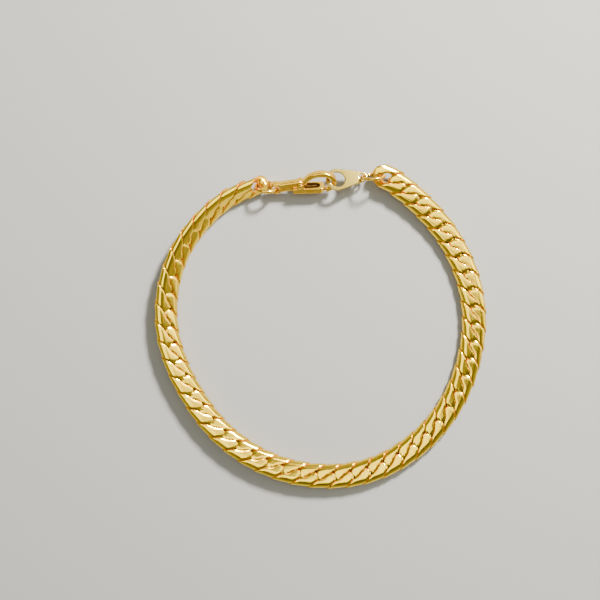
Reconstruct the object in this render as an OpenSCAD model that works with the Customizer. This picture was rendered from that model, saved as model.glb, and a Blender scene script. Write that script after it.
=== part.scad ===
// Link bracelet: a tight curb chain with six flat faces, closed by a claw clasp on a two-hole plate.
// It lies flat as a closed loop. Sizes are millimetres, degrees for angles.
// X runs to the right, Y away from the viewer's side of the table, Z up from the table top.

/* [Loop] */
// Mean distance from the loop's middle to the middle of the chain
loop_radius = 32; // [30:0.5:34]

/* [Chain] */
// Number of links
link_count = 48; // [36:1:60]
// Distance from the middle of one link to the next
link_pitch = 3.61; // [3.4:0.01:3.9]
// Width of the chain over its two outer corners
chain_width = 5; // [4.4:0.05:5.6]
// Width of the flat top face
face_width = 3; // [2.4:0.05:3.6]
// Thickness between the top and bottom faces
chain_thickness = 2.1; // [1.8:0.05:2.5]
// Radius of the link's wire before the six faces are cut
wire_radius = 0.94; // [0.75:0.01:1]
// From a link's middle to the middle of the wire at its end
link_reach = 2.6; // [2.5:0.01:2.75]
// From a link's middle to the middle of the wire at its side
link_half_width = 1.84; // [1.6:0.01:1.95]
// Twist of a link's end bend out of the flat
link_twist = 45; // [35:1:50]
// Gap between neighbouring links
link_gap = 0.34; // [0.3:0.01:0.4]

/* [Rings] */
// Radius of the clasp's jump ring, to the middle of its wire
clasp_ring_radius = 2.1; // [1.9:0.05:2.4]
// Wire radius of the clasp's jump ring
clasp_ring_wire = 0.36; // [0.3:0.01:0.44]
// Tilt of the clasp's jump ring from the table
clasp_ring_tilt = 56; // [45:1:70]
// Turn of the clasp's jump ring on the table
clasp_ring_turn = -4; // [-15:1:5]
// Radius of the plate's ring, to the middle of its wire
plate_ring_radius = 2.34; // [2:0.02:2.8]
// Wire radius of the plate's ring
plate_ring_wire = 0.3; // [0.24:0.01:0.36]
// Tilt of the plate's ring from the table
plate_ring_tilt = 71; // [50:1:80]
// Turn of the plate's ring on the table
plate_ring_turn = 5; // [0:1:10]
// Gap between a ring and the link that holds it
ring_gap = 0.36; // [0.3:0.01:0.42]

/* [Clasp] */
// From the middle of the clasp's eye to its rivet
eye_to_rivet = 5.1; // [4.8:0.05:5.6]
// From the rivet to the middle of the hook's wire at its far end
rivet_to_hook = 6.97; // [6.6:0.01:7.4]
// Rise of the middle of the hook's back above the rivet
hook_rise = 2.4; // [2.2:0.05:2.6]
// Depth of the hook's back, in the plane of its bend
hook_depth = 1; // [0.8:0.02:1.1]
// Wire radius of the hook's far end
hook_end_wire = 0.5; // [0.44:0.01:0.55]
// Outer radius of the clasp's eye
eye_radius = 1.28; // [1.2:0.01:1.4]
// Radius of the hole in the clasp's eye
eye_bore = 0.76; // [0.7:0.01:0.82]
// Thickness of the clasp's tongue and eye
tongue_thickness = 1.46; // [1.2:0.02:1.6]
// Tilt of the clasp's flat side from the table
clasp_tilt = 45; // [30:1:60]
// Turn of the clasp on the table
clasp_turn = 2; // [-5:1:8]

/* [Lever] */
// From the rivet to the lever's tip
lever_reach = 5.1; // [4.8:0.05:5.3]
// From the rivet to the lever's tail
lever_tail = 1.85; // [1.6:0.05:2.2]
// Wall of the lever's folded channel
lever_wall = 0.45; // [0.35:0.01:0.5]
// Depth of the channel from its back to its open edge
lever_depth = 1.15; // [1:0.05:1.3]
// From the rivet to the outside of the lever's back
lever_back = 1.62; // [1.54:0.02:1.8]
// Length of the solid nose at the lever's tip
lever_nose = 0.95; // [0.7:0.05:1.2]
// Gap between the lever and the tongue on each side
lever_gap = 0.1; // [0.06:0.01:0.15]
// Radius of the rivet
rivet_radius = 0.3; // [0.25:0.01:0.35]
// Radius of the rivet's heads
rivet_head = 0.46; // [0.4:0.01:0.55]
// Gap round the rivet in its holes
rivet_gap = 0.03; // [0.02:0.01:0.05]

/* [Plate] */
// Distance between the plate's two holes
plate_span = 5.25; // [4.8:0.05:5.8]
// Radius of the plate's wide end
plate_big_radius = 2.35; // [2.1:0.05:2.6]
// Radius of the plate's narrow end
plate_small_radius = 1.06; // [1:0.01:1.2]
// Radius of the hole that the hook holds
plate_big_bore = 1.6; // [1.4:0.05:1.7]
// Radius of the hole that the ring holds
plate_small_bore = 0.68; // [0.62:0.01:0.74]
// Thickness of the plate
plate_thickness = 0.5; // [0.45:0.01:0.6]
// Turn of the plate on the table
plate_turn = 7; // [0:1:12]
// Slope of the plate down to its narrow end
plate_slope = 8; // [4:1:12]
// Roll of the plate's far edge down
plate_roll = 13; // [4:1:16]
// How far the hook is drawn to one side of the wide hole
plate_pull = 0.6; // [0.4:0.05:0.7]

/* [Hidden] */
gold = [0.93, 0.74, 0.36];
pale_gold = [0.94, 0.8, 0.46];

// Route of the chain on the table: angle, distance from the loop's middle as a share of its mean,
// and how far the outer edge of the chain is rolled up. The first and last rows only steer its ends.
route = [
    [71.5, 1.1000, 0], [64.6, 1.0716, 0], [50, 1.0445, 0], [35, 1.0325, 0], [20, 1.0250, 0],
    [5, 1.0160, 0], [-10, 1.0025, 0], [-30, 0.9935, 2], [-50, 0.9865, 6], [-70, 0.9775, 10],
    [-90, 0.9525, 14], [-110, 0.9310, 18], [-130, 0.9160, 20], [-150, 0.9130, 23],
    [-165, 0.9345, 26], [-180, 0.9680, 29], [-195, 0.9950, 36], [-210, 1.0132, 44],
    [-225, 1.0175, 50], [-235, 1.0175, 54], [-244.84, 1.0010, 58], [-251, 0.9880, 58]
];
// Heading of the chain's two end links on the table
start_heading = -28;
end_heading = 21;
// How far the chain's start is lifted by the ring under it, and over how many pitches it sinks
start_rise = 0.4762 * chain_thickness;
rise_span = 6;
stations = 16;
sides = 6;
steps = 10;

function spline(a, b, c, d, t) =
    0.5 * (2 * b + (c - a) * t + (2 * a - 5 * b + 4 * c - d) * t * t
    + (3 * b - a - 3 * c + d) * t * t * t);
function unit(v) = v / norm(v);
function flat(q) = loop_radius * q[1] * [cos(q[0]), sin(q[0])];
function lengths(p) =
    [for (i = 0, s = 0; i < len(p); s = s + (i + 1 < len(p) ? norm(p[i + 1] - p[i]) : 0), i = i + 1) s];

// The chosen rows, joined by a smooth curve
rows = len(route);
fine = concat([for (k = [1:rows - 3]) for (j = [0:steps - 1])
    spline(route[k - 1], route[k], route[k + 1], route[k + 2], j / steps)], [route[rows - 2]]);
fine_flat = [for (q = fine) flat(q)];
fine_last = len(fine) - 1;
first_share = lengths(fine_flat);
share = first_share / first_share[fine_last];

// Cross section of the chain: six planes, as a normal and a distance
bevel_run = (chain_width - face_width) / 2;
bevel_normal = unit([0, chain_thickness / 2, bevel_run]);
bevel_reach = bevel_normal * [0, chain_width / 2, 0];
planes = concat(
    [for (z = [-1, 1]) [[0, 0, z], chain_thickness / 2]],
    [for (y = [-1, 1]) for (z = [-1, 1])
        [[0, y * bevel_normal[1], z * bevel_normal[2]], bevel_reach]]);

// Height of the chain's middle when its section is rolled by an angle and stands on the table
function lift(roll) =
    max(chain_width / 2 * sin(roll), face_width / 2 * sin(roll) + chain_thickness / 2 * cos(roll));

// Left end: the last link and the hole at its end, where the clasp's ring hangs
end_xy = fine_flat[fine_last];
inner_face = link_reach - (2 * link_reach - link_pitch) / 2 + link_gap / 2;
clasp_ring_inset = inner_face - clasp_ring_wire - ring_gap;
clasp_ring_left = end_xy + clasp_ring_inset * [cos(end_heading), sin(end_heading)];
clasp_ring_z = clasp_ring_radius * sin(clasp_ring_tilt) + 1.053 * clasp_ring_wire;
function on_clasp_ring(v) =
    let (y = v[1] * cos(clasp_ring_tilt))
    [v[0] * cos(clasp_ring_turn) - y * sin(clasp_ring_turn),
        v[0] * sin(clasp_ring_turn) + y * cos(clasp_ring_turn), -v[1] * sin(clasp_ring_tilt)];
clasp_ring_flat = clasp_ring_left + clasp_ring_radius * [cos(clasp_ring_turn), sin(clasp_ring_turn)];
clasp_ring_at = [clasp_ring_flat[0], clasp_ring_flat[1], clasp_ring_z];

// Clasp: its eye holds the ring where the ring comes down to the eye's height
eye_drop = 0.1429 * eye_to_rivet;
eye_z = 0.93 * clasp_ring_radius;
eye_turn = asin((clasp_ring_z - eye_z) / (clasp_ring_radius * sin(clasp_ring_tilt)));
ring_at_eye = clasp_ring_at + on_clasp_ring(clasp_ring_radius * [cos(eye_turn), sin(eye_turn)]);
eye_at = ring_at_eye + eye_bore * [-0.197, -0.066, 0.066];
function clasp_dir(v) =
    let (y = v[1] * cos(clasp_tilt) - v[2] * sin(clasp_tilt))
    [v[0] * cos(clasp_turn) - y * sin(clasp_turn), v[0] * sin(clasp_turn) + y * cos(clasp_turn),
        v[1] * sin(clasp_tilt) + v[2] * cos(clasp_tilt)];
rivet_at = eye_at + clasp_dir([eye_to_rivet, eye_drop, 0]);

// Plate: the hook goes through its wide end
plate_up = 0.1 * hook_rise;
hook_at = rivet_at + clasp_dir([rivet_to_hook, plate_up, 0]);
plate_axis = [cos(plate_turn) * cos(plate_slope), sin(plate_turn) * cos(plate_slope), -sin(plate_slope)];
plate_at = hook_at + plate_pull * [1, 0.75, 0];
small_bore_at = plate_at + plate_span * plate_axis;

// Plate ring and the chain's start, which it holds
plate_ring_z = plate_ring_radius * sin(plate_ring_tilt) + 1.067 * plate_ring_wire;
bore_turn = asin((plate_ring_z - small_bore_at[2]) / (plate_ring_radius * sin(plate_ring_tilt)));
plate_ring_away = [cos(plate_ring_turn), sin(plate_ring_turn)];
plate_ring_aside = [-plate_ring_away[1], plate_ring_away[0]];
bore_slack = plate_small_bore - plate_ring_wire;
plate_ring_flat = [small_bore_at[0], small_bore_at[1]] + bore_slack * [-0.2, 0]
    + plate_ring_radius * cos(bore_turn) * plate_ring_away
    - plate_ring_radius * cos(plate_ring_tilt) * sin(bore_turn) * plate_ring_aside;
plate_ring_at = [plate_ring_flat[0], plate_ring_flat[1], plate_ring_z];
plate_ring_inset = inner_face - plate_ring_wire - ring_gap;
start_xy = plate_ring_flat + plate_ring_radius * plate_ring_away
    + plate_ring_inset * [cos(start_heading), sin(start_heading)];

// The loop keeps its two ends and swells until it is as long as its links need
chain_length = (link_count - 1) * link_pitch;
function swell(k) = [for (i = [0:fine_last])
    k * fine_flat[i] + (1 - share[i]) * (start_xy - k * fine_flat[0])
    + share[i] * (end_xy - k * fine_flat[fine_last])];
function span(k) = lengths(swell(k))[fine_last];
size_step = (chain_length - span(1)) / (span(1.1) - span(1)) * 0.1;
path = swell(1 + size_step);
along = lengths(path);
path_length = along[fine_last];
x_table = [for (i = [0:fine_last]) [along[i], path[i][0]]];
y_table = [for (i = [0:fine_last]) [along[i], path[i][1]]];
roll_table = [for (i = [0:fine_last]) [along[i], fine[i][2]]];
function rise(s) = start_rise * pow(max(0, 1 - s / (rise_span * link_pitch)), 2);
function spot(s) =
    [lookup(s, x_table), lookup(s, y_table), lift(lookup(s, roll_table)) + rise(s)];

// Frame of a link: its middle, then along the chain, across it and out of its top face
function frame(i) =
    let (s = path_length * i / (link_count - 1))
    let (run = spot(s + link_pitch / 2) - spot(s - link_pitch / 2))
    let (heading = i == 0 ? start_heading : i == link_count - 1 ? end_heading : atan2(run[1], run[0]))
    let (slope = (rise(s + 0.01 * link_pitch) - rise(s)) / (0.01 * link_pitch))
    let (t = unit([cos(heading), sin(heading), slope]))
    let (n = unit([-t[1], t[0], 0]))
    let (u = cross(t, n))
    let (roll = lookup(s, roll_table))
    [spot(s), t, n * cos(roll) + u * sin(roll), u * cos(roll) - n * sin(roll)];
function place(f, p) = f[0] + f[1] * p[0] + f[2] * p[1] + f[3] * p[2];
function local(f, q) = let (w = q - f[0]) [w * f[1], w * f[2], w * f[3]];

// Middle line of a link's wire: an oval, twisted about the chain's length
side_half = link_reach - link_half_width;
oval_length = 4 * side_half + 2 * PI * link_half_width;
quarter = oval_length / 4;
function oval(s) =
    let (q = floor(s / quarter + 0.0001))
    let (r = s - q * quarter)
    let (e = quarter - side_half)
    let (bend = (q % 2 == 0 ? min(r, e) : e - max(0, r - side_half)) / link_half_width * 180 / PI)
    let (run = q % 2 == 0 ? side_half - max(0, r - e) : min(r, side_half))
    let (x = run + link_half_width * cos(bend))
    let (y = link_half_width * sin(bend))
    q == 0 ? [x, y] : q == 1 ? [-x, y] : q == 2 ? [-x, -y] : [x, -y];
function twisted(p) =
    let (u = p[0] / link_reach)
    let (a = -link_twist * u * sqrt(abs(u)))
    [p[0], p[1] * cos(a), p[1] * sin(a)];
function wire_spot(k, n) = twisted(oval(((k % n) + n) % n * oval_length / n));
finer = 4 * stations;
middle_line = [for (k = [0:finer - 1]) wire_spot(k, finer)];
heads = [for (k = [0:stations - 1]) middle_line[4 * k]];
runs = [for (k = [0:stations - 1])
    unit(middle_line[(4 * k + 2) % finer] - middle_line[(4 * k + finer - 2) % finer])];
ups = [for (t = runs) unit([0, 0, 1] - t * t[2])];
rays = [for (k = [0:stations - 1]) [for (j = [0:sides - 1])
    let (a = 360 * (j + 0.5) / sides) ups[k] * cos(a) + cross(runs[k], ups[k]) * sin(a)]];

// How far a ray may go: the wire's radius, the six faces, and half way to the neighbouring links
function to_faces(p, d) =
    min([for (f = planes) let (k = d * f[0]) k > 0.02 ? (f[1] - p * f[0]) / k : 9]);
function to_links(p, d, others) =
    min([for (q = others) let (w = q - p) let (k = w * d) k > 0.02 ? w * w / (2 * k) : 9]) - link_gap / 2;
own_reach = [for (k = [0:stations - 1]) [for (j = [0:sides - 1])
    min(wire_radius, to_faces(heads[k], rays[k][j]))]];

frames = [for (i = [0:link_count - 1]) frame(i)];
before = [frames[0][0] - link_pitch * frames[0][1], frames[0][1], frames[0][2], frames[0][3]];
last = frames[link_count - 1];
after = [last[0] + link_pitch * last[1], last[1], last[2], last[3]];
all_frames = concat([before], frames, [after]);
function neighbours(i) =
    concat([for (p = middle_line) local(frames[i], place(all_frames[i], p))],
        [for (p = middle_line) local(frames[i], place(all_frames[i + 2], p))]);
function link_points(i) =
    let (others = neighbours(i))
    [for (k = [0:stations - 1]) for (j = [0:sides - 1])
        place(frames[i], heads[k] + rays[k][j]
            * max(wire_radius / 3, min(own_reach[k][j], to_links(heads[k], rays[k][j], others))))];
function link_faces(i) =
    let (o = i * stations * sides)
    [for (k = [0:stations - 1]) for (j = [0:sides - 1]) for (h = [0, 1])
        let (a = o + k * sides + j)
        let (b = o + (k + 1) % stations * sides + j)
        let (c = o + (k + 1) % stations * sides + (j + 1) % sides)
        let (d = o + k * sides + (j + 1) % sides)
        h == 0 ? [a, b, c] : [a, c, d]];

chain_points = [for (i = [0:link_count - 1]) for (p = link_points(i)) p];

// The whole bracelet is moved so that the origin lies under its middle, on the table
low = [for (a = [0:2]) min([for (p = chain_points) p[a]])];
high = [for (a = [0:2]) max([for (p = chain_points) p[a]])];
module at_origin() {
    translate([-(low[0] + high[0]) / 2, -(low[1] + high[1]) / 2, -low[2]])
        children();
}

module chain() {
    color(gold)
        at_origin()
            polyhedron(
                points = chain_points,
                faces = [for (i = [0:link_count - 1]) for (f = link_faces(i)) f],
                convexity = 10);
}

module ring(radius, wire) {
    rotate_extrude($fn = 120)
        translate([radius, 0])
            circle(r = wire, $fn = 64);
}

module clasp_ring() {
    color(gold)
        at_origin()
            translate(clasp_ring_at)
                rotate([-clasp_ring_tilt, 0, clasp_ring_turn])
                    ring(clasp_ring_radius, clasp_ring_wire);
}

module plate_ring() {
    color(gold)
        at_origin()
            translate(plate_ring_at)
                rotate([-plate_ring_tilt, 0, plate_ring_turn])
                    ring(plate_ring_radius, plate_ring_wire);
}

module clasp_place() {
    at_origin()
        translate(rivet_at)
            rotate([clasp_tilt, 0, clasp_turn])
                children();
}

// The hook follows two arcs: a long one for the back and a tight one round the far end
tight_radius = 0.7917 * hook_rise;
back_radius = 1.654 * hook_rise;
meet = 65;
tight_x = rivet_to_hook - tight_radius;
back_x = tight_x - (back_radius - tight_radius) * cos(meet);
back_y = hook_rise - back_radius;
tight_lift = back_y + (back_radius - tight_radius) * sin(meet);
boss_radius = 0.79 * eye_radius;
tip_turn = -72;

// A strap with chamfered edges, bent along an arc
module bow(x, y, radius, depth, thickness, from, sweep) {
    side = depth / 2;
    face = thickness / 2;
    edge = 0.28 * depth;
    translate([x, y, 0])
        rotate([0, 0, from])
            rotate_extrude(angle = sweep, $fn = 180)
                translate([radius, 0])
                    polygon([
                        [-side, edge - face], [edge - side, -face], [side - edge, -face], [side, edge - face],
                        [side, face - edge], [side - edge, face], [edge - side, face], [-side, face - edge]]);
}

module clasp_body() {
    color(gold)
        clasp_place() {
            difference() {
                union() {
                    translate([-eye_to_rivet, -eye_drop, -tongue_thickness / 2])
                        cylinder(r = eye_radius, h = tongue_thickness, $fn = 72);
                    translate([0, 0, -tongue_thickness / 2])
                        cylinder(r = boss_radius, h = tongue_thickness, $fn = 72);
                    translate([0, 0, -tongue_thickness / 2])
                        linear_extrude(tongue_thickness)
                            polygon([
                                [-0.943 * eye_to_rivet, -eye_drop - 0.484 * eye_radius],
                                boss_radius * [-0.09, -0.929], boss_radius * [0.268, -0.179],
                                boss_radius * [0.938, 0.375], boss_radius * [0.295, 0.875],
                                boss_radius * [-0.3125, 0.875],
                                [-0.924 * eye_to_rivet, -eye_drop + 0.547 * eye_radius]]);
                }
                translate([-eye_to_rivet, -eye_drop, -tongue_thickness])
                    cylinder(r = eye_bore, h = 2 * tongue_thickness, $fn = 72);
                translate([0, 0, -tongue_thickness])
                    cylinder(r = rivet_radius + rivet_gap, h = 2 * tongue_thickness, $fn = 48);
            }
            bow(back_x, back_y, back_radius, hook_depth, 0.96 * tongue_thickness, meet, 150 - meet);
            bow(tight_x, tight_lift, tight_radius, 0.96 * hook_depth, 2.2 * hook_end_wire, tip_turn,
                meet + 2 - tip_turn);
            translate([tight_x + tight_radius * cos(tip_turn), tight_lift + tight_radius * sin(tip_turn), 0])
                sphere(r = hook_end_wire, $fn = 80);
        }
}

lever_width = tongue_thickness + 2 * lever_gap + 2 * lever_wall;

module clasp_pin() {
    head = 0.304 * rivet_head;
    clasp_place()
        color(pale_gold) {
            translate([0, 0, -lever_width / 2 - head])
                cylinder(r = rivet_radius, h = lever_width + 2 * head, $fn = 48);
            for (z = [-1, 1])
                translate([0, 0, z * (lever_width / 2 + rivet_gap + head / 2) - head / 2])
                    cylinder(r = rivet_head, h = head, $fn = 48);
        }
}

module clasp_lever() {
    open_edge = lever_depth - lever_back;
    nose_mid = -lever_back + lever_depth / 2;
    color(gold)
        clasp_place()
            difference() {
                union() {
                    translate([0, 0, -lever_width / 2])
                        linear_extrude(lever_width)
                            polygon([
                                [-lever_tail, open_edge], [-0.727 * lever_tail, -lever_back],
                                [lever_reach - lever_depth / 2, -lever_back],
                                [lever_reach - lever_depth / 2, open_edge]]);
                    translate([lever_reach - lever_depth / 2, nose_mid, -lever_width / 2])
                        cylinder(r = lever_depth / 2, h = lever_width, $fn = 72);
                    translate([0, 0, -lever_width / 2])
                        cylinder(r = 1.652 * rivet_head, h = lever_width, $fn = 72);
                }
                translate([-1.5 * lever_tail, -lever_back + lever_wall, -lever_width / 2 + lever_wall])
                    cube([1.5 * lever_tail + lever_reach - lever_nose, 2.5 * lever_depth,
                        lever_width - 2 * lever_wall]);
                translate([0, 0, -lever_width])
                    cylinder(r = rivet_radius + rivet_gap, h = 2 * lever_width, $fn = 48);
            }
}

// The plate's straight edges touch both of its round ends
edge_turn = acos((plate_big_radius - plate_small_radius) / plate_span);

module tag_plate() {
    color(pale_gold)
        at_origin()
            translate(plate_at)
                rotate([-plate_roll, plate_slope, plate_turn])
                    translate([0, 0, -plate_thickness / 2])
                        difference() {
                            union() {
                                cylinder(r = plate_big_radius, h = plate_thickness, $fn = 64);
                                translate([plate_span, 0, 0])
                                    cylinder(r = plate_small_radius, h = plate_thickness, $fn = 48);
                                linear_extrude(plate_thickness)
                                    polygon([
                                        0.998 * plate_big_radius * [cos(edge_turn), sin(edge_turn)],
                                        0.998 * plate_big_radius * [cos(edge_turn), -sin(edge_turn)],
                                        [plate_span, 0] + 0.995 * plate_small_radius
                                            * [cos(edge_turn), -sin(edge_turn)],
                                        [plate_span, 0] + 0.995 * plate_small_radius
                                            * [cos(edge_turn), sin(edge_turn)]]);
                            }
                            translate([0, 0, -plate_thickness])
                                cylinder(r = plate_big_bore, h = 3 * plate_thickness, $fn = 56);
                            translate([plate_span, 0, -plate_thickness])
                                cylinder(r = plate_small_bore, h = 3 * plate_thickness, $fn = 48);
                        }
}

chain();
clasp_ring();
clasp_body();
clasp_pin();
clasp_lever();
tag_plate();
plate_ring();
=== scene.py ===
import math

import bpy
import numpy as np
from mathutils import Euler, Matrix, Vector


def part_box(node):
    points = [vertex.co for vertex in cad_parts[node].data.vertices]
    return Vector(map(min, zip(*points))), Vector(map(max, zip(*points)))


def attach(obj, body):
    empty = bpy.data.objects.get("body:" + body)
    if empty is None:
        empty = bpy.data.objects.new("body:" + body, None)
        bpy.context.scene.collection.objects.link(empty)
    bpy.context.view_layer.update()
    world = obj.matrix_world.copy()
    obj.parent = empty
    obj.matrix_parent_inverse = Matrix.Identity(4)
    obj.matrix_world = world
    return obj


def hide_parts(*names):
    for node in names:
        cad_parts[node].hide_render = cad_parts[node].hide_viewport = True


# A link bracelet that lies closed on a table: the chain's links, the clasp with its sprung lever,
# two rings and the plate that the clasp holds. Each takes the place of its own solid.

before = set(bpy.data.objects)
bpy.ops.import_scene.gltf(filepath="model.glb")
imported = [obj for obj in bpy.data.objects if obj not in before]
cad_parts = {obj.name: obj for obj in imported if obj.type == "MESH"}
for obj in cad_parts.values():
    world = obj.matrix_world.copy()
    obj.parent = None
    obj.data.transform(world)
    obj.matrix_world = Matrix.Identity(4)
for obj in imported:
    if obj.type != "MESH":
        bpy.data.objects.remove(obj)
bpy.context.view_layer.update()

MM = 0.001

# Sizes, in millimetres and degrees, as the solids have them
LINKS = 48
PITCH = 3.61
CHAIN_WIDTH = 5.0
FACE_WIDTH = 3.0
CHAIN_THICKNESS = 2.1
LINK_REACH = 2.6
LINK_HALF_WIDTH = 1.84
LINK_TWIST = 45.0
LINK_GAP = 0.34
RING_GAP = 0.36
CLASP_RING = dict(radius=2.1, wire=0.36, tilt=56, turn=-4)
PLATE_RING = dict(radius=2.34, wire=0.3, tilt=71, turn=5)
EYE_TO_RIVET, RIVET_TO_HOOK, HOOK_RISE = 5.1, 6.97, 2.4
HOOK_DEPTH, HOOK_END_WIRE = 1.0, 0.5
EYE_RADIUS, EYE_BORE, TONGUE = 1.28, 0.76, 1.46
CLASP_TILT, CLASP_TURN = 45, 2
LEVER_REACH, LEVER_TAIL, LEVER_WALL = 5.1, 1.85, 0.45
LEVER_DEPTH, LEVER_BACK, LEVER_NOSE, LEVER_GAP = 1.15, 1.62, 0.95, 0.1
RIVET_RADIUS, RIVET_HEAD, RIVET_GAP = 0.3, 0.46, 0.03
PLATE_SPAN, PLATE_BIG, PLATE_SMALL = 5.25, 2.35, 1.06
PLATE_BIG_BORE, PLATE_SMALL_BORE, PLATE_THICKNESS = 1.6, 0.68, 0.5
PLATE_TURN, PLATE_SLOPE, PLATE_ROLL, PLATE_PULL = 7, 8, 13, 0.6
# how high the middle of the clasp ring's wire lies above the table, at its lowest
RING_STAND = 1.053 * CLASP_RING["wire"]
# the link's twist grows with this power of the way from its middle to its end
TWIST_POWER = 1.5

# The scene's links are fuller than the solids, within the same outline:
# the wire's radius before it is cut, and how square its oval is, where 2 is an ellipse
LINK_WIRE = 1.3
LINK_SQUARENESS = 2.6
# the gap that stays between two links, and the turn that gives the chain its scalloped edge
LINK_SEAM = 0.1
LINK_YAW = 3.5
# the upper bevel's knee, in shares of its run and of half the thickness, and its foot, in the latter
BEVEL_KNEE, BEVEL_FOOT = (0.35, 0.72), 0.2
# the power of the soft least that rounds the edges, where less is rounder
ROUNDING = 15
# a face with so many corners in a seam gets the painted reflection, a deeper orange gold
SEAM_CORNERS = 2
# edges that turn by more than this are shaded sharp
SHARP_ANGLE = 30
# steps along the wire and around it, and points of the fine line that the steps are measured on
ALONG, AROUND, FINE = 60, 32, 2400
# how much the first spoke, drawn out from the wire's middle line, leans along the link
SPOKE_LEAN = 0.35
# most and least length of a spoke, and the least by which one points towards what stops it
FAR, NEAR, TOWARDS = 9.0, 0.05, 0.02

# Route of the chain: angle, distance from the loop's middle as a share of its mean, roll
LOOP_RADIUS = 32.0
ROUTE = [
    (71.5, 1.1, 0), (64.6, 1.0716, 0), (50, 1.0445, 0), (35, 1.0325, 0), (20, 1.025, 0),
    (5, 1.016, 0), (-10, 1.0025, 0), (-30, 0.9935, 2), (-50, 0.9865, 6), (-70, 0.9775, 10),
    (-90, 0.9525, 14), (-110, 0.931, 18), (-130, 0.916, 20), (-150, 0.913, 23),
    (-165, 0.9345, 26), (-180, 0.968, 29), (-195, 0.995, 36), (-210, 1.0132, 44),
    (-225, 1.0175, 50), (-235, 1.0175, 54), (-244.84, 1.001, 58), (-251, 0.988, 58),
]
ROUTE_STEPS = 10
START_HEADING, END_HEADING = -28.0, 21.0
# the first links climb to the plate's ring, over so many links
START_RISE, RISE_SPAN = 0.4762 * CHAIN_THICKNESS, 6


def rad(a):
    return math.radians(a)


def unit(v):
    v = np.asarray(v, float)
    return v / np.linalg.norm(v)


def heading(a):
    return np.array([math.cos(rad(a)), math.sin(rad(a))])


def turned(x, y, z):
    """Rotation matrix, about X, then Y, then Z."""
    return np.array(Euler((rad(x), rad(y), rad(z)), "XYZ").to_matrix())


def box_middle(node):
    lo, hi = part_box(node)
    return np.array((lo + hi) / 2) / MM


# Where the pieces lie
CLASP_RING_AT = box_middle("clasp_ring")
PLATE_RING_AT = box_middle("plate_ring")
RIVET_AT = box_middle("clasp_pin")
CLASP_TURNS = turned(CLASP_TILT, 0, CLASP_TURN)


def route_rows():
    """The route's rows with others between them, on one smooth curve through them all."""
    q = np.array(ROUTE, float)
    rows = []
    for k in range(1, len(q) - 2):
        a, b, c, d = q[k - 1], q[k], q[k + 1], q[k + 2]
        for t in np.arange(ROUTE_STEPS) / ROUTE_STEPS:
            rows.append(0.5 * (2 * b + (c - a) * t + (2 * a - 5 * b + 4 * c - d) * t * t
                               + (3 * b - a - 3 * c + d) * t ** 3))
    rows.append(q[-2])
    return np.array(rows)


def lengths(p):
    """Distance along a line of points, at each point."""
    return np.r_[0, np.cumsum(np.linalg.norm(np.diff(p, axis=0), axis=1))]


def lift(roll):
    """Height of the chain's middle above the table where it lies rolled."""
    s, c = math.sin(rad(roll)), math.cos(rad(roll))
    return max(CHAIN_WIDTH / 2 * s, FACE_WIDTH / 2 * s + CHAIN_THICKNESS / 2 * c)


def rise(s):
    return START_RISE * max(0.0, 1 - s / (RISE_SPAN * PITCH)) ** 2


def link_frames():
    """The move from the route's zero to the origin, and the middle and axes of every link."""
    rows = route_rows()
    ang = np.radians(rows[:, 0:1])
    flat = LOOP_RADIUS * rows[:, 1:2] * np.hstack([np.cos(ang), np.sin(ang)])
    share = (lengths(flat) / lengths(flat)[-1])[:, None]
    inner_face = LINK_REACH - (2 * LINK_REACH - PITCH) / 2 + LINK_GAP / 2

    def hang(spec):
        return inner_face - spec["wire"] - RING_GAP

    end = flat[-1]
    ring_xy = (end + hang(CLASP_RING) * heading(END_HEADING)
               + CLASP_RING["radius"] * heading(CLASP_RING["turn"]))
    ring_z = CLASP_RING["radius"] * math.sin(rad(CLASP_RING["tilt"])) + RING_STAND
    shift = CLASP_RING_AT - np.array([*ring_xy, ring_z])
    start = ((PLATE_RING_AT - shift)[:2] + PLATE_RING["radius"] * heading(PLATE_RING["turn"])
             + hang(PLATE_RING) * heading(START_HEADING))

    def swell(k):
        return k * flat + (1 - share) * (start - k * flat[0]) + share * (end - k * flat[-1])

    # the route is swollen until the links fit it exactly
    trial = 0.1
    one, more = lengths(swell(1))[-1], lengths(swell(1 + trial))[-1]
    path = swell(1 + ((LINKS - 1) * PITCH - one) / (more - one) * trial)
    along = lengths(path)

    def spot(s):
        return np.array([np.interp(s, along, path[:, 0]), np.interp(s, along, path[:, 1]),
                         lift(np.interp(s, along, rows[:, 2])) + rise(s)])

    ends = {0: START_HEADING, LINKS - 1: END_HEADING}
    bit = 0.01 * PITCH
    out = []
    for i in range(LINKS):
        s = along[-1] * i / (LINKS - 1)
        run = spot(s + PITCH / 2) - spot(s - PITCH / 2)
        h = ends.get(i, math.degrees(math.atan2(run[1], run[0])))
        slope = (rise(s + bit) - rise(s)) / bit
        t = unit([*heading(h), slope])
        n = unit([-t[1], t[0], 0])
        u = np.cross(t, n)
        roll = rad(np.interp(s, along, rows[:, 2]))
        c, w = math.cos(roll), math.sin(roll)
        out.append((spot(s), np.stack([t, n * c + u * w, u * c - n * w])))
    return shift, out


# Building meshes
def to_object(name, verts, faces, sharp=None):
    mesh = bpy.data.meshes.new(name)
    points = [tuple(v) for v in np.asarray(verts, float) * MM]
    mesh.from_pydata(points, [], [tuple(int(k) for k in f) for f in faces])
    mesh.update()
    mesh.shade_smooth()
    if sharp:
        mesh.set_sharp_from_angle(angle=rad(sharp))
    ob = bpy.data.objects.new(name, mesh)
    bpy.context.scene.collection.objects.link(ob)
    return ob


def second_material(ob, which):
    """Gives the faces that which marks the object's second material, and the others its first."""
    ob.data.polygons.foreach_set("material_index", np.ravel(which).astype(np.int32))
    return ob


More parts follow.
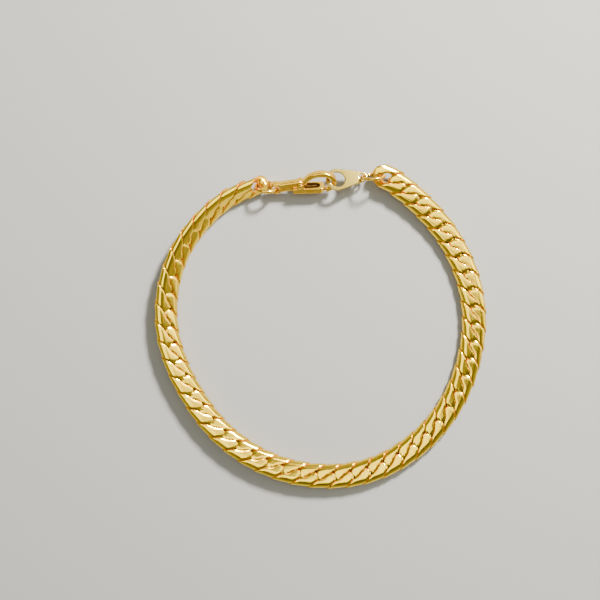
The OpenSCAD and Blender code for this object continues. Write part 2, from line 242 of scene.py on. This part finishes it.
def grid_faces(rows, columns, offset=0):
    """Faces of a tube's grid, closed both ways."""
    i, j = np.meshgrid(np.arange(rows), np.arange(columns), indexing="ij")
    a, b = i * columns, ((i + 1) % rows) * columns
    k = (j + 1) % columns
    return (np.stack([a + j, b + j, b + k, a + k], 2).reshape(-1, 4) + offset).tolist()


def link_line(n):
    """Middle line of a link's wire: a rounded oval, twisted about the chain's length."""
    T = np.linspace(0, 2 * np.pi, FINE, endpoint=False)
    c, s = np.cos(T), np.sin(T)
    u = LINK_REACH * np.sign(c) * np.abs(c) ** (2 / LINK_SQUARENESS)
    v = LINK_HALF_WIDTH * np.sign(s) * np.abs(s) ** (2 / LINK_SQUARENESS)
    a = -rad(LINK_TWIST) * np.sign(u) * np.abs(u / LINK_REACH) ** TWIST_POWER
    Q = np.stack([u, v * np.cos(a), v * np.sin(a)], 1)
    Q = np.r_[Q, Q[:1]]
    S = lengths(Q)
    want = np.arange(n) * S[-1] / n
    return np.stack([np.interp(want, S, Q[:, k]) for k in range(3)], 1)


def section_planes():
    """Faces of the chain's section, each as its direction and distance."""
    half, run, h = CHAIN_WIDTH / 2, (CHAIN_WIDTH - FACE_WIDTH) / 2, CHAIN_THICKNESS / 2
    knee_in, knee_up = BEVEL_KNEE
    profile = [(FACE_WIDTH / 2, h), (half - knee_in * run, knee_up * h), (half, BEVEL_FOOT * h)]
    out = [(np.array([0, 0, z]), h) for z in (-1.0, 1.0)]
    for y in (-1, 1):
        n = unit([0, y * h, -run])
        out.append((n, abs(n[1]) * half))
        out.append((np.array([0, y, 0]), half))
        for (a, za), (b, zb) in zip(profile, profile[1:]):
            n = unit([0, y * (za - zb), b - a])
            out.append((n, abs(n[1]) * a + n[2] * za))
    return [(turned(0, 0, LINK_YAW) @ n, d) for n, d in out]


def soft_least(a, b):
    return (a ** -ROUNDING + b ** -ROUNDING) ** (-1 / ROUNDING)


def spokes(line):
    """Directions all round the wire, from each point of its middle line."""
    T = np.roll(line, -1, 0) - np.roll(line, 1, 0)
    T /= np.linalg.norm(T, axis=1)[:, None]
    O = line * [SPOKE_LEAN, 1, 1]
    O -= (O * T).sum(1)[:, None] * T
    O /= np.linalg.norm(O, axis=1)[:, None]
    B = np.cross(T, O)
    ph = np.arange(AROUND) * 2 * np.pi / AROUND
    return np.cos(ph)[None, :, None] * O[:, None] + np.sin(ph)[None, :, None] * B[:, None]


def build_links():
    """Every link's wire, cut by the section's faces and midway to the links beside it."""
    line, dense = link_line(ALONG), link_line(ALONG * 4)
    D = spokes(line)
    own = np.full(D.shape[:2], LINK_WIRE)
    for nrm, h in section_planes():
        k = D @ nrm
        t = np.where(k > 1e-6, (h - line @ nrm)[:, None] / np.maximum(k, 1e-6), FAR)
        own = soft_least(own, np.clip(t, NEAR, FAR))
    shift, frames = link_frames()
    (p0, a0), (p1, a1) = frames[0], frames[-1]
    chain = [(p0 - PITCH * a0[0], a0)] + frames + [(p1 + PITCH * a1[0], a1)]
    verts, faces, seam_reflection_faces = [], [], []
    for i, (p, A) in enumerate(frames):
        reach, gap = own.copy(), np.full(own.shape, FAR)
        for q, C in (chain[i], chain[i + 2]):
            Q = (q + dense @ C - p) @ A.T
            w = Q[None] - line[:, None]
            k = np.einsum("nmc,nqc->nmq", D, w)
            t = np.where(k > TOWARDS, (w * w).sum(2)[:, None, :] / (2 * np.maximum(k, 1e-9)), FAR)
            room = np.maximum(t.min(2) - LINK_SEAM / 2, NEAR)
            reach, gap = soft_least(reach, room), np.minimum(gap, room)
        P = line[:, None] + D * reach[..., None]
        verts.append(p + shift + P.reshape(-1, 3) @ A)
        faces += grid_faces(ALONG, AROUND, i * ALONG * AROUND)
        # faces cut short by a neighbour lie in a seam and get the painted reflection
        cut_short = (gap < own).astype(int)
        cut_short += np.roll(cut_short, -1, 0)
        seam_reflection_faces.append(cut_short + np.roll(cut_short, -1, 1) >= SEAM_CORNERS)
    return second_material(to_object("links", np.vstack(verts), faces, sharp=SHARP_ANGLE), seam_reflection_faces)


def ring(name, spec, middle, n=96, m=28):
    a, b = np.arange(n) * 2 * np.pi / n, np.arange(m) * 2 * np.pi / m
    r = spec["radius"] + spec["wire"] * np.cos(b)[None]
    P = np.stack([r * np.cos(a)[:, None], r * np.sin(a)[:, None],
                  np.broadcast_to(spec["wire"] * np.sin(b), (n, m))], 2).reshape(-1, 3)
    placed = P @ turned(-spec["tilt"], 0, spec["turn"]).T + middle
    return to_object(name, placed, grid_faces(n, m))


# Rounded solids from distances: a point's distance to the surface, negative inside
def disc(p, x, y, r):
    return np.hypot(p[:, 0] - x, p[:, 1] - y) - r


def taper(p, a, ra, b, rb):
    """Two discs joined by their common tangents."""
    a, b = np.asarray(a, float), np.asarray(b, float)
    d = b - a
    length = np.hypot(*d)
    ux = d / length
    q = p[:, :2] - a
    x, y = q @ ux, np.abs(q @ np.array([-ux[1], ux[0]]))
    s = (ra - rb) / length
    c = math.sqrt(1 - s * s)
    k = x * c - y * s
    past = np.where(k > c * length, np.hypot(x - length, y) - rb, y * c + x * s - ra)
    return np.where(k < 0, np.hypot(x, y) - ra, past)


def polygon(p, pts):
    """Distance to a closed polygon."""
    pts = np.asarray(pts, float)
    best = np.full(len(p), 1e9)
    inside = np.zeros(len(p), bool)
    for a, b in zip(pts, np.roll(pts, -1, 0)):
        e, w = b - a, p[:, :2] - a
        t = np.clip((w @ e) / (e @ e), 0, 1)
        best = np.minimum(best, np.hypot(*(w - t[:, None] * e).T))
        cross = (a[1] > p[:, 1]) != (b[1] > p[:, 1])
        with np.errstate(divide="ignore", invalid="ignore"):
            x = (b[0] - a[0]) * (p[:, 1] - a[1]) / (b[1] - a[1] + 1e-12) + a[0]
        inside ^= cross & (p[:, 0] < x)
    return np.where(inside, -best, best)


def thick(d, z, half, edge):
    """A flat shape given a thickness, with rounded edges."""
    w = np.stack([d + edge, np.abs(z) - half + edge], 1)
    return np.minimum(w.max(1), 0) + np.hypot(*np.maximum(w, 0).T) - edge


def join(a, b, k):
    """Both shapes, with a fillet of about k where they meet."""
    h = np.clip(0.5 + 0.5 * (b - a) / k, 0, 1)
    return b * (1 - h) + a * h - k * h * (1 - h)


def cut(a, b, k):
    """The first shape less the second, with an edge rounded by about k."""
    return -join(-a, b, k)


def bow(p, x, y, radius, start, stop, size_start, size_stop, edge):
    """A strap bent along an arc, with half its depth and half its thickness at each end."""
    q = p[:, :2] - [x, y]
    a = np.degrees(np.arctan2(q[:, 1], q[:, 0]))
    mid = (start + stop) / 2
    a = (a - mid + 180) % 360 - 180 + mid
    t = np.clip((a - start) / (stop - start), 0, 1)
    b = np.radians(start + t * (stop - start))
    out = q[:, 0] * np.cos(b) + q[:, 1] * np.sin(b) - radius
    past = q[:, 1] * np.cos(b) - q[:, 0] * np.sin(b)
    w = np.stack([np.abs(out) - size_start[0] - t * (size_stop[0] - size_start[0]) + edge,
                  np.abs(p[:, 2]) - size_start[1] - t * (size_stop[1] - size_start[1]) + edge], 1)
    return np.minimum(w.max(1), 0) + np.sqrt((np.maximum(w, 0) ** 2).sum(1) + past ** 2) - edge


def cell_points(f, lo, step):
    """A point in each grid cell that the surface crosses, and the number of every cell's point."""
    s = f < 0
    m = np.array(f.shape) - 1
    corners = np.array([(i, j, k) for i in (0, 1) for j in (0, 1) for k in (0, 1)])

    def part(a, c):
        return a[c[0]:c[0] + m[0], c[1]:c[1] + m[1], c[2]:c[2] + m[2]]

    count = sum(part(s, c).astype(int) for c in corners)
    mixed = (count > 0) & (count < len(corners))
    total, crossings = np.zeros((*m, 3)), np.zeros(m)
    for i, a in enumerate(corners):
        for b in corners[i + 1:]:
            if abs(a - b).sum() != 1:
                continue
            fa, fb = part(f, a), part(f, b)
            hit = (fa < 0) != (fb < 0)
            t = np.where(hit, fa / np.where(hit, fa - fb, 1), 0)
            total += np.where(hit[..., None], a + t[..., None] * (b - a), 0)
            crossings += hit
    ids = -np.ones(m, int)
    ids[mixed] = np.arange(mixed.sum())
    v = lo + step * (np.argwhere(mixed) + total[mixed] / crossings[mixed][:, None])
    return v, ids


def cell_faces(s, ids):
    """A face across each grid edge with one end inside, between the points of its four cells."""
    faces = []
    for ax in range(3):
        o1, o2 = (ax + 1) % 3, (ax + 2) % 3
        a = [slice(None)] * 3
        b = [slice(None)] * 3
        a[ax], b[ax] = slice(0, -1), slice(1, None)
        for o in (o1, o2):
            a[o] = b[o] = slice(1, -1)
        sa, sb = s[tuple(a)], s[tuple(b)]
        e1, e2 = np.eye(3, dtype=int)[o1], np.eye(3, dtype=int)[o2]
        for crossed, order in ((sa & ~sb, 1), (~sa & sb, -1)):
            at = np.argwhere(crossed) + e1 + e2
            quad = [ids[tuple((at - d).T)] for d in (0 * e1, e1, e1 + e2, e2)]
            faces.append(np.stack(quad[::order], 1))
    faces = np.vstack(faces)
    return faces[(faces >= 0).all(1)]


# the mesh is drawn onto its surface in rounds: the slope's probe and the longest move are in grid
# steps, and the least slope is squared
ROUNDS, PROBE, LONGEST_MOVE, LEAST_SLOPE = 4, 0.2, 0.5, 0.3
# faces so near to the second field count as within it
WITHIN_MARGIN = 0.03


def surface(name, field, lo, hi, step, place, within=None):
    """The zero surface of a distance field, as an even mesh, then set where place puts it.
    Faces whose middle lies within the second field get the second material."""
    lo, hi = np.asarray(lo, float), np.asarray(hi, float)
    n = np.ceil((hi - lo) / step).astype(int) + 1
    g = np.stack(np.meshgrid(*[lo[k] + step * np.arange(n[k]) for k in range(3)], indexing="ij"), 3)
    f = field(g.reshape(-1, 3)).reshape(n)
    v, ids = cell_points(f, lo, step)
    faces = cell_faces(f < 0, ids)
    eps = PROBE * step
    longest = LONGEST_MOVE * step
    for _ in range(ROUNDS):
        change = [field(v + eps * e) - field(v - eps * e) for e in np.eye(3)]
        grad = np.stack([c / (2 * eps) for c in change], 1)
        size = np.maximum((grad * grad).sum(1), LEAST_SLOPE)
        v = v - np.clip(field(v) / size, -longest, longest)[:, None] * grad
    ob = to_object(name, place(v), faces)
    if within:
        second_material(ob, within(v[faces].mean(1)) < WITHIN_MARGIN)
    return ob


# The clasp, lying flat with its rivet at zero: X towards the hook's bend, Y up the hook's bow
EYE_AT = (-EYE_TO_RIVET, -0.1429 * EYE_TO_RIVET)
# the bow's two arcs meet at this angle: a wide one from the tongue, a tight one down to the tip
MEET, BOW_START, BOW_STOP = 65, 150, -78
TIGHT, BACK = 0.7917 * HOOK_RISE, 1.654 * HOOK_RISE
BACK_AT = (RIVET_TO_HOOK - TIGHT - (BACK - TIGHT) * heading(MEET)[0], HOOK_RISE - BACK)
TIGHT_AT = (RIVET_TO_HOOK - TIGHT, BACK_AT[1] + (BACK - TIGHT) * heading(MEET)[1])
STRAP, STRAP_EDGE = (HOOK_DEPTH * 0.5, TONGUE * 0.48), 0.3
TIP = (HOOK_END_WIRE, HOOK_END_WIRE)
TONGUE_HEEL, TONGUE_EDGE = (-0.3, 0), 0.34
EYE_NECK, BOSS = 0.78 * EYE_RADIUS, 0.79 * EYE_RADIUS
# fillets where the eye, the bow and its tip are joined on, and the rounding of the eye's bore
EYE_FILLET, BOW_FILLET, TIP_FILLET, BORE_ROUNDING = 0.5, 0.3, 0.05, 0.25
LEVER_LUG, LEVER_SLANT = 1.652 * RIVET_HEAD, 0.727
LEVER_EDGE, LUG_FILLET, MOUTH_ROUNDING = 0.12, 0.2, 0.08
CHEEK = TONGUE / 2 + LEVER_GAP
LEVER_HALF = CHEEK + LEVER_WALL
# how far the hollow's round end stops short of the solid's flat one, and the rounding of its floor
HOLLOW_SHORT, HOLLOW_EDGE = 0.1, 0.3
# half the hollow's depth, and how far it and the lever's plan run past the tail: more than enough
HOLLOW_HALF, HOLLOW_PAST, PLAN_PAST = 2, 3, 2
# a little under 1, so that the plan gives way to the bar where both have the same sides
PLAN_SCALE = 0.98
# the rivet's domes: how deep their middle is sunk, how flat they are, and their distances' scale
DOME_SINK, DOME_FLATNESS, DOME_SCALE = 0.02, 3.0, 0.6


def in_clasp(v):
    return v @ CLASP_TURNS.T + RIVET_AT


def clasp_body(p):
    tongue = taper(p, EYE_AT, EYE_NECK, TONGUE_HEEL, BOSS)
    flat = join(tongue, disc(p, *EYE_AT, EYE_RADIUS), EYE_FILLET)
    d = thick(flat, p[:, 2], TONGUE / 2, TONGUE_EDGE)
    d = join(d, bow(p, *BACK_AT, BACK, BOW_START, MEET, STRAP, STRAP, STRAP_EDGE), BOW_FILLET)
    d = join(d, bow(p, *TIGHT_AT, TIGHT, MEET, BOW_STOP, STRAP, TIP, STRAP_EDGE), TIP_FILLET)
    return cut(d, disc(p, *EYE_AT, EYE_BORE), BORE_ROUNDING)


def clasp_lever(p):
    """A folded channel, seen from the side as a bar with a lug for the rivet."""
    r = LEVER_DEPTH / 2
    edge, mid = LEVER_DEPTH - LEVER_BACK, -LEVER_BACK + r
    start, end = r - LEVER_TAIL, LEVER_REACH - r
    side = polygon(p, [(-LEVER_TAIL, edge), (-LEVER_SLANT * LEVER_TAIL, -LEVER_BACK),
                       (end, -LEVER_BACK), (end, edge)])
    side = np.minimum(side, disc(p, end, mid, r))
    side = np.maximum(side, taper(p, (start, mid), r, (end, mid), r))
    side = join(side, disc(p, 0, 0, LEVER_LUG), LUG_FILLET)
    d = thick(side, p[:, 2], LEVER_HALF, LEVER_EDGE)
    far_end, nose = (-LEVER_TAIL - PLAN_PAST, 0), (LEVER_REACH - LEVER_HALF, 0)
    plan = taper(p[:, [0, 2]], far_end, LEVER_HALF, nose, LEVER_HALF)
    return cut(np.maximum(d, plan * PLAN_SCALE), channel(p), MOUTH_ROUNDING)


def channel(p):
    """The hollow between the lever's cheeks."""
    end = LEVER_REACH - LEVER_NOSE - HOLLOW_SHORT - CHEEK
    plan = taper(p[:, [0, 2]], (-LEVER_TAIL - HOLLOW_PAST, 0), CHEEK, (end, 0), CHEEK)
    return thick(plan, p[:, 1] + LEVER_BACK - LEVER_WALL - HOLLOW_HALF, HOLLOW_HALF, HOLLOW_EDGE)


def rivet(p):
    """A pin with a domed head at both ends."""
    r = np.hypot(p[:, 0], p[:, 1])
    d = np.maximum(r - RIVET_RADIUS, np.abs(p[:, 2]) - LEVER_HALF)
    z = np.abs(p[:, 2]) - (LEVER_HALF + RIVET_GAP)
    round_top = np.hypot(r, (z + DOME_SINK) * DOME_FLATNESS) - RIVET_HEAD
    dome = np.maximum(round_top, -z) * DOME_SCALE
    return np.minimum(d, dome)


# The plate, lying flat with its wide hole at zero
PLATE_UP, PLATE_SHIFT = 0.1 * HOOK_RISE, [PLATE_PULL, 0.75 * PLATE_PULL, 0]
PLATE_EDGE, PLATE_BORE_EDGE = 0.14, 0.12


def plate_place(v):
    hook = RIVET_AT + CLASP_TURNS @ np.array([RIVET_TO_HOOK, PLATE_UP, 0])
    turns = turned(-PLATE_ROLL, PLATE_SLOPE, PLATE_TURN)
    return v @ turns.T + hook + PLATE_SHIFT


def tag_plate(p):
    d = taper(p, (0, 0), PLATE_BIG, (PLATE_SPAN, 0), PLATE_SMALL)
    d = thick(d, p[:, 2], PLATE_THICKNESS / 2, PLATE_EDGE)
    d = cut(d, disc(p, 0, 0, PLATE_BIG_BORE), PLATE_BORE_EDGE)
    return cut(d, disc(p, PLATE_SPAN, 0, PLATE_SMALL_BORE), PLATE_BORE_EDGE)


# Materials

# how detailed the grain's noise is, and the stretch of it over which the two tones meet
GRAIN_DETAIL, TONES_MEET = 3, (0.35, 0.65)


def gold(name, colour, deep, rough, grain_scale, bump, bump_depth):
    """Polished metal with a faint grain, which goes between two tones."""
    mat = bpy.data.materials.new(name)
    mat.use_nodes = True
    tree = mat.node_tree
    shader = tree.nodes["Principled BSDF"]
    shader.inputs["Metallic"].default_value = 1.0
    shader.inputs["Roughness"].default_value = rough
    coords = tree.nodes.new("ShaderNodeTexCoord")
    noise = tree.nodes.new("ShaderNodeTexNoise")
    noise.inputs["Scale"].default_value = grain_scale
    noise.inputs["Detail"].default_value = GRAIN_DETAIL
    tree.links.new(coords.outputs["Object"], noise.inputs["Vector"])
    tones = tree.nodes.new("ShaderNodeValToRGB")
    low, high = tones.color_ramp.elements
    low.position, high.position = TONES_MEET
    low.color, high.color = (*deep, 1), (*colour, 1)
    tree.links.new(noise.outputs["Fac"], tones.inputs["Fac"])
    tree.links.new(tones.outputs["Color"], shader.inputs["Base Color"])
    bumps = tree.nodes.new("ShaderNodeBump")
    bumps.inputs["Strength"].default_value = bump
    bumps.inputs["Distance"].default_value = bump_depth * MM
    tree.links.new(noise.outputs["Fac"], bumps.inputs["Height"])
    tree.links.new(bumps.outputs["Normal"], shader.inputs["Normal"])
    return mat


# colour, deep tone, roughness, how fine the grain is, and the bumps' strength and depth
CHAIN_GOLD = gold("chain_gold", (1.0, 0.7, 0.035), (0.98, 0.63, 0.02), 0.17, 600, 0.3, 0.02)
RING_GOLD = gold("ring_gold", (1.0, 0.65, 0.05), (0.97, 0.56, 0.035), 0.2, 900, 0.3, 0.02)
CLASP_GOLD = gold("clasp_gold", (1.0, 0.64, 0.05), (0.97, 0.54, 0.035), 0.2, 800, 0.4, 0.03)
# painted reflection: a deeper orange between the links stands in for gold mirroring gold
SEAM_REFLECTION_GOLD = gold("seam_reflection_gold", (1.0, 0.58, 0.02), (0.98, 0.5, 0.012), 0.25, 600, 0.3, 0.02)
# painted shade: a dark brown in the lever's hollow stands in for the shade that falls there
HOLLOW_SHADE_GOLD = gold("hollow_shade_gold", (0.24, 0.13, 0.04), (0.14, 0.07, 0.02), 0.4, 800, 0.4, 0.03)
PLATE_GOLD = gold("plate_gold", (0.7, 0.53, 0.11), (0.63, 0.47, 0.09), 0.15, 1500, 0.15, 0.02)


def show(ob, node, body, slot, *mats):
    for mat in mats:
        ob.data.materials.append(mat)
    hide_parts(node)
    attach(ob, body)


# the links, with painted reflection in the seams between them
show(build_links(), "chain", "bracelet", "gold", CHAIN_GOLD, SEAM_REFLECTION_GOLD)
show(ring("jump_ring", CLASP_RING, CLASP_RING_AT), "clasp_ring", "bracelet", "gold", RING_GOLD)
show(ring("end_ring", PLATE_RING, PLATE_RING_AT), "plate_ring", "bracelet", "gold", RING_GOLD)
# the corners are those of the box that is searched for the surface, and the step is its grid's
show(surface("claw", clasp_body, (-6.7, -2.4, -1.0), (7.8, 3.2, 1.0), 0.065, in_clasp),
     "clasp_body", "bracelet", "gold", CLASP_GOLD)
# the lever, with painted shade on the faces in its hollow
show(surface("lever_channel", clasp_lever, (-2.2, -1.9, -1.5), (5.4, 1.1, 1.5), 0.055,
             in_clasp, within=channel),
     "clasp_lever", "lever", "gold", CLASP_GOLD, HOLLOW_SHADE_GOLD)
show(surface("rivet", rivet, (-0.6, -0.6, -1.6), (0.6, 0.6, 1.6), 0.04, in_clasp),
     "clasp_pin", "bracelet", "pale_gold", RING_GOLD)
show(surface("two_hole_plate", tag_plate, (-2.6, -2.6, -0.5), (6.6, 2.6, 0.5), 0.06, plate_place),
     "tag_plate", "bracelet", "pale_gold", PLATE_GOLD)

# Floor, light and camera
FLOOR_HALF, FLOOR_GREY, FLOOR_ROUGHNESS = 3, 0.3, 0.9
# how bright the sky is, from the horizon at 0 to the zenith at 1, and its faintly warm colour
SKY = [(0.0, 0.36), (0.35, 0.43), (0.62, 0.34), (0.82, 0.12), (1.0, 0.1)]
SKY_TINT = (1, 0.98, 0.94)
KEY_TINT, PANEL_TINT, GRAZING_TINT = (1.0, 0.96, 0.88), (1.0, 1.0, 0.8), (1.0, 0.9, 0.7)
# name, place, width, power, colour: a small strong lamp, and soft panels for the faces to mirror
LIGHTS = [
    ("key", (0.2, 0.3, 0.27), 0.07, 10.0, KEY_TINT),
    ("overhead", (-0.12, 0.03, 0.6), 0.42, 1.7, PANEL_TINT),
    ("overhead_right", (0.17, 0.115, 0.6), 0.16, 0.29, PANEL_TINT),
    ("side", (0.37, 0.23, 0.48), 0.35, 0.58, PANEL_TINT),
    ("low_right", (0.42, 0.16, 0.28), 0.24, 0.6, PANEL_TINT),
    ("grazing", (0.5, 0.02, 0.14), 0.22, 0.3, GRAZING_TINT),
]
LIGHT_TARGET = (0, 0, 0.001)
CAMERA_AT = (-0.00438, 0.00561, 0.20105)
CAMERA_LENS, CAMERA_SENSOR, CAMERA_CLIP = 58, 36, (0.01, 10)

floor = bpy.data.meshes.new("floor")
corners = [(x * FLOOR_HALF, y * FLOOR_HALF, 0) for x, y in ((-1, -1), (1, -1), (1, 1), (-1, 1))]
floor.from_pydata(corners, [], [(0, 1, 2, 3)])
floor_ob = bpy.data.objects.new("floor", floor)
bpy.context.scene.collection.objects.link(floor_ob)
floor_mat = bpy.data.materials.new("floor")
floor_mat.use_nodes = True
floor_shader = floor_mat.node_tree.nodes["Principled BSDF"]
floor_shader.inputs["Base Color"].default_value = (FLOOR_GREY, FLOOR_GREY, FLOOR_GREY, 1)
floor_shader.inputs["Roughness"].default_value = FLOOR_ROUGHNESS
floor.materials.append(floor_mat)

world = bpy.data.worlds.new("studio")
bpy.context.scene.world = world
world.use_nodes = True
tree = world.node_tree
sky = tree.nodes.new("ShaderNodeTexCoord")
height = tree.nodes.new("ShaderNodeSeparateXYZ")
shade = tree.nodes.new("ShaderNodeValToRGB")
tree.links.new(sky.outputs["Generated"], height.inputs["Vector"])
tree.links.new(height.outputs["Z"], shade.inputs["Fac"])
tree.links.new(shade.outputs["Color"], tree.nodes["Background"].inputs["Color"])
for at, grey in SKY:
    stops = shade.color_ramp.elements
    stop = stops.new(at) if 0 < at < 1 else stops[-1 if at else 0]
    stop.position, stop.color = at, (*(grey * tint for tint in SKY_TINT), 1)

for name, at, size, power, colour in LIGHTS:
    lamp = bpy.data.lights.new(name, "AREA")
    lamp.size, lamp.energy, lamp.color = size, power, colour
    ob = bpy.data.objects.new(name, lamp)
    ob.visible_camera = False
    ob.location = at
    ob.rotation_euler = (Vector(LIGHT_TARGET) - Vector(at)).to_track_quat("-Z", "Y").to_euler()
    bpy.context.scene.collection.objects.link(ob)

camera = bpy.data.cameras.new("camera")
camera.sensor_width, camera.lens = CAMERA_SENSOR, CAMERA_LENS
camera.clip_start, camera.clip_end = CAMERA_CLIP
camera_ob = bpy.data.objects.new("camera", camera)
camera_ob.location = CAMERA_AT
bpy.context.scene.collection.objects.link(camera_ob)
bpy.context.scene.camera = camera_ob
